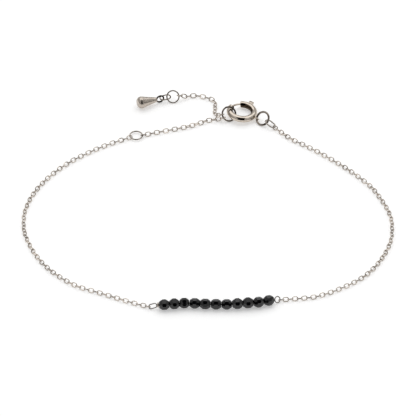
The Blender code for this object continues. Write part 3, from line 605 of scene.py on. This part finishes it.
def make_ring(name, material, cut_turn):
    """A jump ring or long ring over its solid, with the hairline where its ends meet."""
    place, length, width = ring_place(name)
    wire = RING_WIRE[name]
    if length - width < OVAL_LEAST:
        radius = (length + width) / 4 - wire / 2
        half_cut = RING_CUT / radius / 2
        path = arc_path(radius, cut_turn + half_cut, cut_turn + 2 * math.pi - half_cut,
                        2 * math.pi / RING_SIDES)
    else:
        oval = oval_path((length - wire) / 2, (width - wire) / 2, RING_SIDES)
        side = len(oval) // 2
        near = oval[side - 1].copy()
        far = oval[side].copy()
        middle = (near + far) / 2
        near[0] = middle[0] + RING_CUT / 2
        far[0] = middle[0] - RING_CUT / 2
        path = np.vstack((far, oval[side:], oval[:side], near))
    corners, faces = sweep(path, wire / 2, RING_WIRE_SIDES, False)
    ring = mesh_object(name + "_wire", (moved(corners, place), faces), material)
    dress(ring, "silver", name)


def rounded_ends(path, radius, rounding, steps=6):
    """Add short end stretches whose radius falls away in a quarter round, for a soft rim."""
    start_way = (path[0] - path[1]) / np.linalg.norm(path[0] - path[1])
    end_way = (path[-1] - path[-2]) / np.linalg.norm(path[-1] - path[-2])
    turns = np.linspace(0, math.pi / 2, steps)
    shift = rounding * np.sin(turns)
    fall = rounding * (1 - np.cos(turns))
    head = [path[0] - start_way * rounding + start_way * away for away in shift[::-1]]
    tail = [path[-1] - end_way * rounding + end_way * away for away in shift]
    radii = np.concatenate((radius - fall[::-1], np.full(len(path) - 2, radius), radius - fall))
    return np.vstack((head, path[1:-1], tail)), radii


def arc_block(inner, outer, height, start, end, step):
    """A flat block bent round the Z axis between two radii and two angles."""
    near = arc_path(inner, start, end, step)
    far = arc_path(outer, start, end, step)
    outline = np.vstack((near, far[::-1]))
    count = len(outline)
    lift = np.array((0.0, 0.0, height / 2))
    corners = np.vstack((outline - lift, outline + lift))
    faces = []
    for index in range(count):
        after = (index + 1) % count
        faces.append((index, after, count + after, count + index))
    for index in range(len(near) - 1):
        across = count - 1 - index
        faces.append((index, index + 1, across - 1, across))
        faces.append((count + index, count + across, count + across - 1, count + index + 1))
    return corners, faces


def clasp_place():
    """The clasp's own frame, from the gate joint: Z is the joint's axis."""
    axis = Vector(GATE_JOINT["axis"]).normalized()
    hook_side = Vector((-math.sin(HOOK_ANGLE), math.cos(HOOK_ANGLE), 0))
    tip = math.acos(max(-1.0, min(1.0, axis.z)))
    return Matrix.Translation(GATE_JOINT["pos_m"]) @ Matrix.Rotation(-tip, 4, hook_side)


def make_clasp():
    """The clasp's tube with soft rims, bore, lever slot and soldered eye, and its sprung gate."""
    place = clasp_place()
    outer = CLASP_RADIUS + CLASP_TUBE / 2
    tube_arc = arc_path(CLASP_RADIUS, GATE_END, GATE_START + 2 * math.pi, CLASP_STEP)
    tube_path, radii = rounded_ends(tube_arc, CLASP_TUBE / 2, RIM_ROUND)
    corners, faces = sweep(tube_path, radii, CLASP_SIDES, False)
    clasp = mesh_object("clasp_tube", (moved(corners, place), faces), CLASP_SILVER)
    eye = sweep(circle_path((EYE_HOLE + EYE_WIRE) / 2, RING_SIDES), EYE_WIRE / 2, RING_WIRE_SIDES, True)
    eye_reach = outer + (EYE_HOLE + EYE_WIRE) / 2 - EYE_SINK + EYE_WIRE / 2
    outward = Vector((math.cos(EYE_ANGLE), math.sin(EYE_ANGLE), 0))
    sideways = Vector((-math.sin(EYE_ANGLE), math.cos(EYE_ANGLE), 0))
    face = Vector((0, 0, math.cos(EYE_ROLL))) + sideways * math.sin(EYE_ROLL)
    eye_place = place @ facing(outward * eye_reach, face, outward)
    cut(clasp, guide("clasp_eye", eye, eye_place, SILVER_BRIGHT), "UNION")

    bore_end = BOLT_TAIL - GATE_TRAVEL - BORE_SPARE
    bore = sweep(arc_path(CLASP_RADIUS, bore_end, GATE_START + BORE_SPARE, CLASP_STEP),
                 CLASP_BORE / 2, CLASP_SIDES, False)
    cut(clasp, guide("clasp_bore", bore, place))
    socket = sweep(arc_path(CLASP_RADIUS, GATE_END - BORE_SPARE, GATE_END + BOLT_LAP + BORE_SPARE,
                            CLASP_STEP), CLASP_BORE / 2, CLASP_SIDES, False)
    cut(clasp, guide("clasp_socket", socket, place))
    stem_turn = STEM_WIDTH / 2 / CLASP_RADIUS
    slot_spare = stem_turn + STEM_CLEARANCE / CLASP_RADIUS
    slot = arc_block(CLASP_RADIUS, outer + CLASP_TUBE / 2, STEM_HEIGHT + 2 * STEM_CLEARANCE,
                     LEVER_ANGLE - GATE_TRAVEL - slot_spare, LEVER_ANGLE + slot_spare, CLASP_STEP)
    cut(clasp, guide("clasp_slot", slot, place))
    clasp.data.set_sharp_from_angle(angle=SHARP_ANGLE)
    dress(clasp, "silver", "clasp_ring")

    bolt_arc = arc_path(CLASP_RADIUS, BOLT_TAIL, GATE_END + BOLT_LAP, CLASP_STEP)
    bolt_path, radii = rounded_ends(bolt_arc, BOLT_WIRE / 2, BOLT_WIRE / 4)
    corners, faces = sweep(bolt_path, radii, RING_WIRE_SIDES, False)
    gate = mesh_object("clasp_bolt", (moved(corners, place), faces), SILVER_BRIGHT)
    knob_base = outer + STEM_CLEARANCE
    stem = arc_block(CLASP_RADIUS, knob_base + STEM_CLEARANCE, STEM_HEIGHT,
                     LEVER_ANGLE - stem_turn, LEVER_ANGLE + stem_turn, CLASP_STEP)
    cut(gate, guide("gate_stem", stem, place, SILVER_BRIGHT), "UNION")
    knob_turn = LEVER_WIDTH / 2 / knob_base
    knob = arc_block(knob_base, knob_base + LEVER_REACH, LEVER_HEIGHT,
                     LEVER_ANGLE - knob_turn, LEVER_ANGLE + knob_turn, CLASP_STEP)
    lever = guide("gate_knob", knob, place, SILVER_BRIGHT)
    soften = lever.modifiers.new("soften", "BEVEL")
    soften.width = LEVER_EDGE
    soften.segments = LEVER_EDGE_STEPS
    cut(gate, lever, "UNION")
    gate.data.set_sharp_from_angle(angle=SHARP_ANGLE)
    dress(gate, "silver", "clasp_gate", body="gate")


def bead_mesh(name, radius, length):
    """A round bead cut to flat facets: a table at each end and five staggered rows."""
    shape = bmesh.new()
    bmesh.ops.create_cube(shape, size=BEAD_BLANK)
    cuts = [(Vector((1, 0, 0)), BEAD_TABLE), (Vector((-1, 0, 0)), BEAD_TABLE)]
    for tilt, phase, part_of in BEAD_ROWS:
        sides = round(BEAD_SIDES * part_of)
        for end in ((1, -1) if tilt else (1,)):
            for side in range(sides):
                turn = 2 * math.pi * (side + phase) / sides
                across = math.cos(tilt)
                cuts.append((Vector((end * math.sin(tilt), across * math.sin(turn),
                                     -across * math.cos(turn))), 1.0))
    for normal, reach in cuts:
        geometry = shape.verts[:] + shape.edges[:] + shape.faces[:]
        result = bmesh.ops.bisect_plane(shape, geom=geometry, dist=1e-6, plane_co=normal * reach,
                                        plane_no=normal, clear_outer=True)
        edges = [part for part in result["geom_cut"] if isinstance(part, bmesh.types.BMEdge)]
        if edges:
            bmesh.ops.edgeloop_fill(shape, edges=edges)
    bmesh.ops.scale(shape, vec=(length / (2 * BEAD_TABLE), radius, radius), verts=shape.verts)
    bmesh.ops.recalc_face_normals(shape, faces=shape.faces)
    mesh = bpy.data.meshes.new(name)
    shape.to_mesh(mesh)
    shape.free()
    mesh.materials.append(STONE)
    return mesh


def bead_spans():
    """Each bead's middle in plan, its heading and its length, drawn back so that tables stay clear."""
    joints = [Vector((x * MM, y * MM)) for x, y in BEAD_JOINTS]
    turns = [math.atan2(*reversed(after - before)) for before, after in zip(joints, joints[1:])]
    padded = [turns[0]] + turns + [turns[-1]]
    eased = [(before + 2 * turn + after) / 4 for before, turn, after in zip(padded, turns, padded[2:])]
    bends = [0.0] + [abs(after - before) for before, after in zip(eased, eased[1:])] + [0.0]
    corner = BEAD_DIAMETER / 2 * BEAD_TABLE_CORNER
    backs = [STONE_GAP / 2 + corner * math.tan(bend / 2) for bend in bends]
    spans = []
    for index, (start, end) in enumerate(zip(joints, joints[1:])):
        way = (end - start).normalized()
        near, far = start + way * backs[index], end - way * backs[index + 1]
        spans.append(((near + far) / 2, eased[index], (far - near).length))
    return spans


def make_beads():
    """The eleven beads with slightly softened facet edges and drilled ends."""
    rolls = random.Random(BEAD_SEED)
    height = BEAD_DIAMETER / 2
    spans = bead_spans()
    middle = len(spans) // 2
    for index, (centre, turn, length) in enumerate(spans):
        size = 1 + BEAD_SPREAD * rolls.uniform(-1, 1)
        roll = rolls.uniform(0, 2 * math.pi)
        if index == middle:
            roll, size = 0.0, 1.0
        node = "bead_%02d" % (index + 1)
        name = "stone_%02d" % (index + 1)
        mesh = bead_mesh(name, BEAD_DIAMETER / 2 * size, length)
        heading = Matrix.Rotation(turn, 4, "Z")
        turned = heading @ Matrix.Rotation(roll, 4, "X")
        lowest = min((turned @ vertex.co).z for vertex in mesh.vertices)
        mesh.transform(Matrix.Translation(Vector((centre.x, centre.y, -lowest)) + SETTLE) @ turned)
        bead = bpy.data.objects.new(name, mesh)
        bpy.context.scene.collection.objects.link(bead)
        soften = bead.modifiers.new("soften", "BEVEL")
        soften.width = BEAD_EDGE
        soften.segments = BEAD_EDGE_STEPS
        soften.limit_method = "ANGLE"
        soften.angle_limit = BEAD_EDGE_LEAST
        drill = sweep(np.array(((-length, 0, 0), (length, 0, 0))), BEAD_HOLE / 2,
                      CLASP_SIDES, False)
        straight = Matrix.Translation(Vector((centre.x, centre.y, height)) + SETTLE) @ heading
        cut(bead, guide(name + "_drill", drill, straight))
        bead.data.shade_flat()
        dress(bead, "stone", node)


def make_thread():
    """The thread through the beads, its two eyes and the crimp collar."""
    height = BEAD_DIAMETER / 2
    joints = [Vector((x * MM, y * MM, height)) + SETTLE for x, y in BEAD_JOINTS]
    left_way = (joints[0] - joints[1]).normalized()
    right_way = (joints[-1] - joints[-2]).normalized()
    left_end = joints[0] + left_way * (COLLAR_WIRE + 2 * GAP + BEAD_GAP)
    right_end = joints[-1] + right_way * (EYE_LOOP_WIRE / 2 + LOOP_GAP)
    lift = Vector((0, 0, height))
    path = np.array([tuple(point - lift) for point in [left_end] + joints[1:-1] + [right_end]])
    corners, faces = sweep(path, THREAD_WIRE / 2, RING_WIRE_SIDES, False)
    thread = mesh_object("thread", (moved(corners, Matrix.Translation(lift)), faces), THREAD)

    left_half = (LEFT_LOOP_LENGTH - EYE_LOOP_WIRE) / 2
    left_pull = sloped(LEFT_LOOP_TURN, CHAIN_REST - height, 2 * left_half)
    left_place = facing(left_end + left_pull * left_half, LOOP_FACE, left_pull)
    left_eye = sweep(oval_path(left_half, (LEFT_LOOP_WIDTH - EYE_LOOP_WIRE) / 2, RING_SIDES),
                     EYE_LOOP_WIRE / 2, RING_WIRE_SIDES, True)
    cut(thread, guide("left_eye", left_eye, left_place, THREAD), "UNION")
    right_half = (RIGHT_LOOP - EYE_LOOP_WIRE) / 2
    right_pull = sloped(RIGHT_LOOP_TURN, CHAIN_REST - height, 2 * right_half)
    right_place = facing(right_end + right_pull * right_half, LOOP_FACE, right_pull)
    right_eye = sweep(circle_path(right_half, RING_SIDES), EYE_LOOP_WIRE / 2, RING_WIRE_SIDES, True)
    cut(thread, guide("right_eye", right_eye, right_place, THREAD), "UNION")
    thread.data.set_sharp_from_angle(angle=SHARP_ANGLE)
    dress(thread, "thread", "bead_wire")

    collar = sweep(circle_path((COLLAR_DIAMETER - COLLAR_WIRE) / 2, RING_SIDES), COLLAR_WIRE / 2,
                   RING_WIRE_SIDES, True)
    collar_centre = joints[0] + left_way * (COLLAR_WIRE / 2 + GAP)
    corners = moved(collar[0], facing(collar_centre, left_way, (0, 0, 1)))
    dress(mesh_object("collar", (corners, collar[1]), SILVER), "silver", "crimp_collar")
    left_hold = (left_place.translation + left_pull * left_half,
                 left_place.to_3x3() @ Vector((0, 1, 0)))
    right_hold = (right_place.translation + right_pull * right_half,
                  right_place.to_3x3() @ Vector((0, 1, 0)))
    return left_hold, right_hold


def drop_profile():
    """Half the drop's outline from its round end to its neck: share of length, share of radius."""
    neck = DROP_NECK / DROP_DIAMETER
    button = [(DROP_BUTTON * (1 - math.cos(turn)), DROP_FLAT + (1 - DROP_FLAT) * math.sin(turn))
              for turn in np.linspace(0.0, math.pi / 2, DROP_BUTTON_STEPS)]
    cone_end = [(0.60, 0.5 * (neck + 1.0) - 0.04), (0.93, neck), (0.965, neck * 0.97),
                (0.985, neck * 0.88), (1.00, neck * 0.70)]
    return button + DROP_CREASE + cone_end


def make_drop():
    """The drop over its solid: a lathed cone with a rounded end, a crease, and its cast eye."""
    points = node_points("drop_tag")
    link, _, _ = ring_place("drop_link")
    centre = points.mean(axis=0)
    along = Vector(np.linalg.svd(points - centre)[2][0])
    if along.dot(link.translation - Vector(centre)) < 0:
        along = -along
    steps = (points - centre) @ np.array(along)
    reach = DROP_LENGTH + (DROP_EYE - DROP_EYE_WIRE) / 2
    base = Vector(points[steps < steps.min() + DROP_END_LAYER].mean(axis=0))
    side = Vector((along.y, -along.x, 0)).normalized()
    place = facing(base, side, along)
    corners, faces = [], []
    profile = drop_profile()
    turns = 2 * math.pi * np.arange(DROP_SIDES) / DROP_SIDES
    for share, width in profile:
        radius = width * DROP_DIAMETER / 2
        corners += [(share * DROP_LENGTH, radius * math.cos(turn), radius * math.sin(turn))
                    for turn in turns]
    for section in range(len(profile) - 1):
        here, there = section * DROP_SIDES, (section + 1) * DROP_SIDES
        for step in range(DROP_SIDES):
            corner = (step + 1) % DROP_SIDES
            faces.append((here + step, here + corner, there + corner, there + step))
    faces.append(tuple(range(DROP_SIDES)))
    faces.append(tuple(reversed(range((len(profile) - 1) * DROP_SIDES, len(profile) * DROP_SIDES))))
    drop = mesh_object("drop", (moved(np.array(corners), place), faces), SILVER)
    eye = sweep(circle_path((DROP_EYE - DROP_EYE_WIRE) / 2, RING_SIDES), DROP_EYE_WIRE / 2,
                RING_WIRE_SIDES, True)
    eye_place = place @ Matrix.Translation((reach, 0, 0))
    # The eye is joined on in the near-black silver, as painted shade for the dark inside of the eye
    cut(drop, guide("drop_eye", eye, eye_place, EYE_SHADE_SILVER), "UNION")
    drop.data.set_sharp_from_angle(angle=SHARP_ANGLE)
    dress(drop, "silver", "drop_tag")


def make_chains(left_eye, right_eye):
    """All four chains, each from the wire that it starts on to the wire that it ends on."""
    hook_way = Vector((math.cos(HOOK_ANGLE), math.sin(HOOK_ANGLE), 0))
    hook_face = ring_place("hook_ring")[0].to_3x3() @ Vector((0, 0, 1))
    tail_hold = ring_wire_point("hook_ring",
                                Matrix.Rotation(TAIL_ON_HOOK, 3, hook_face) @ hook_way)
    adjuster_hold = ring_wire_point("hook_ring",
                                    Matrix.Rotation(ADJUSTER_ON_HOOK, 3, hook_face) @ hook_way)
    drop_face = ring_place("drop_ring")[0].to_3x3() @ Vector((0, 0, 1))
    drop_hold = ring_wire_point("drop_ring",
                                Matrix.Rotation(TAIL_ON_DROP_RING, 3, drop_face) @ Vector((1, 0, 0)))
    left_hold = ring_wire_point("size_ring", (math.cos(CHAIN_ON_SIZE_RING),
                                              math.sin(CHAIN_ON_SIZE_RING), 0))
    size_hold = ring_wire_point("size_ring", (math.cos(ADJUSTER_ON_SIZE_RING),
                                              math.sin(ADJUSTER_ON_SIZE_RING), 0))
    long_place, long_length, _ = ring_place("chain_link")
    long_way = long_place.to_3x3() @ Vector((1, 0, 0))
    if long_way.x < 0:
        long_way = -long_way
    long_face = long_place.to_3x3() @ Vector((0, 0, 1))
    long_hold = (long_place.translation + long_way * (long_length - RING_WIRE["chain_link"]) / 2,
                 long_face.cross(long_way))
    linked_chain("left_chain", left_hold, RING_WIRE["size_ring"], left_eye, EYE_LOOP_WIRE,
                 LEFT_ROUTE, CHAIN_SILVER)
    linked_chain("right_chain", long_hold, RING_WIRE["chain_link"], right_eye, EYE_LOOP_WIRE,
                 RIGHT_ROUTE, CHAIN_SILVER)
    linked_chain("adjuster_chain", size_hold, RING_WIRE["size_ring"], adjuster_hold,
                 RING_WIRE["hook_ring"], ADJUSTER_ROUTE, CHAIN_SILVER)
    linked_chain("tail_chain", tail_hold, RING_WIRE["hook_ring"], drop_hold, RING_WIRE["drop_ring"],
                 TAIL_ROUTE, CHAIN_SILVER)


def make_floor():
    """A plain white table that glows a little, so that shadows on it stay light."""
    mesh = bpy.data.meshes.new("floor")
    reach = TABLE_REACH
    mesh.from_pydata([(-reach, -reach, 0), (reach, -reach, 0), (reach, reach, 0), (-reach, reach, 0)],
                     [], [(0, 1, 2, 3)])
    floor = bpy.data.objects.new("floor", mesh)
    bpy.context.scene.collection.objects.link(floor)
    material = bpy.data.materials.new("floor")
    material.use_nodes = True
    shader = material.node_tree.nodes["Principled BSDF"]
    shader.inputs["Base Color"].default_value = (*TABLE_TONE, 1.0)
    shader.inputs["Emission Color"].default_value = (1.0, 1.0, 1.0, 1.0)
    shader.inputs["Emission Strength"].default_value = TABLE_GLOW
    shader.inputs["Roughness"].default_value = TABLE_ROUGHNESS
    shader.inputs["Specular IOR Level"].default_value = 0.0
    mesh.materials.append(material)
    floor.location.z = -TABLE_DROP


def combined(nodes, links, operation, one, other):
    """Two values made one, as by their product or the larger of them."""
    both = nodes.new("ShaderNodeMath")
    both.operation = operation
    links.new(one, both.inputs[0])
    links.new(other, both.inputs[1])
    return both.outputs["Value"]


def make_tent():
    """The pale surround, with the dark strip that bright metal shows as a short black bar."""
    world = bpy.data.worlds.new("studio")
    bpy.context.scene.world = world
    world.use_nodes = True
    nodes, links = world.node_tree.nodes, world.node_tree.links
    ground = nodes["Background"]
    ground.inputs["Strength"].default_value = TENT_STRENGTH
    place = nodes.new("ShaderNodeTexCoord")
    lean = nodes.new("ShaderNodeVectorMath")
    lean.operation = "DOT_PRODUCT"
    lean.inputs[1].default_value = BRIGHT_WAY
    links.new(place.outputs["Generated"], lean.inputs[0])
    ramp = nodes.new("ShaderNodeValToRGB")
    links.new(lean.outputs["Value"], ramp.inputs["Fac"])
    while len(ramp.color_ramp.elements) < len(TENT_TONES):
        ramp.color_ramp.elements.new(0.5)
    for stop, (position, colour) in zip(ramp.color_ramp.elements, TENT_TONES):
        stop.position = position
        stop.color = (*colour, 1.0)
    ways = nodes.new("ShaderNodeSeparateXYZ")
    links.new(place.outputs["Generated"], ways.inputs["Vector"])
    aside = nodes.new("ShaderNodeMath")
    aside.operation = "ABSOLUTE"
    links.new(ways.outputs["X"], aside.inputs[0])
    opening_sides = falling(nodes, links, aside.outputs["Value"], OPENING_SIDES)
    opening = combined(nodes, links, "MULTIPLY", opening_sides,
                       falling(nodes, links, ways.outputs["Y"], OPENING_BACK))
    band = combined(nodes, links, "MULTIPLY", falling(nodes, links, ways.outputs["Z"], BAND_TOP),
                    falling(nodes, links, ways.outputs["Y"], BAND_BACK))
    tone = nodes.new("ShaderNodeMix")
    tone.data_type = "RGBA"
    tone.inputs["B"].default_value = (*OPENING_TONE, 1.0)
    links.new(ramp.outputs["Color"], tone.inputs["A"])
    links.new(combined(nodes, links, "MAXIMUM", opening, band), tone.inputs["Factor"])
    links.new(tone.outputs["Result"], ground.inputs["Color"])


def make_soft_box():
    """An area light above and behind the bracelet, which faces it."""
    data = bpy.data.lights.new("soft_box", "AREA")
    data.shape = "RECTANGLE"
    data.size, data.size_y = SOFT_BOX_SIZE
    data.energy = SOFT_BOX_POWER
    lamp = bpy.data.objects.new("soft_box", data)
    lamp.location = SOFT_BOX_PLACE
    lamp.rotation_euler = (-Vector(SOFT_BOX_PLACE)).to_track_quat("-Z", "Y").to_euler()
    bpy.context.scene.collection.objects.link(lamp)


def make_camera():
    """A long lens at the photograph's height angle, straight in front of the bead row."""
    target = SETTLE + CAMERA_AIM
    data = bpy.data.cameras.new("camera")
    data.sensor_width = SENSOR_WIDTH
    data.lens = SENSOR_WIDTH * CAMERA_DISTANCE / FRAME_WIDTH
    data.clip_start, data.clip_end = CAMERA_CLIP
    camera = bpy.data.objects.new("camera", data)
    backward = Vector((0, -math.cos(CAMERA_LIFT), math.sin(CAMERA_LIFT)))
    camera.location = target + CAMERA_DISTANCE * backward
    camera.rotation_euler = (math.pi / 2 - CAMERA_LIFT, 0, 0)
    bpy.context.scene.collection.objects.link(camera)
    bpy.context.scene.camera = camera


SILVER = silver_material("silver", *SILVER_FINISH)
SILVER_BRIGHT = silver_material("silver_bright", *BRIGHT_FINISH)
CLASP_SILVER = silver_material("silver_clasp", *BRIGHT_FINISH)
# The clasp's inner wall gets painted shade, darker towards the inside of the ring
tarnish_inside(CLASP_SILVER, GATE_JOINT["pos_m"], CLASP_INSIDE, CLASP_INNER_SHADE)
CHAIN_SILVER = silver_material("silver_chain", *CHAIN_FINISH)
RING_SILVER = silver_material("silver_ring", *RING_FINISH)
SHADED_RING_SILVER = silver_material("silver_ring_shade", *RING_SHADE_FINISH)
# Painted shade for the drop's eye
EYE_SHADE_SILVER = silver_material("silver_eye_shade", *EYE_SHADE_FINISH)
THREAD = silver_material("thread", *THREAD_FINISH)
STONE = stone_material("stone")

bpy.context.scene.view_settings.view_transform = "Standard"
bpy.context.scene.view_settings.look = "Medium High Contrast"
make_camera()
make_floor()
make_tent()
make_soft_box()
make_clasp()
make_beads()
left_eye, right_eye = make_thread()
make_drop()
make_chains(left_eye, right_eye)
for index, name in enumerate(RING_WIRE):
    # Some rings take the darker silver, as painted dark reflection
    ring_finish = SHADED_RING_SILVER if name in SHADED_RINGS else RING_SILVER
    make_ring(name, ring_finish, RING_CUT_START + RING_CUT_STEP * index)
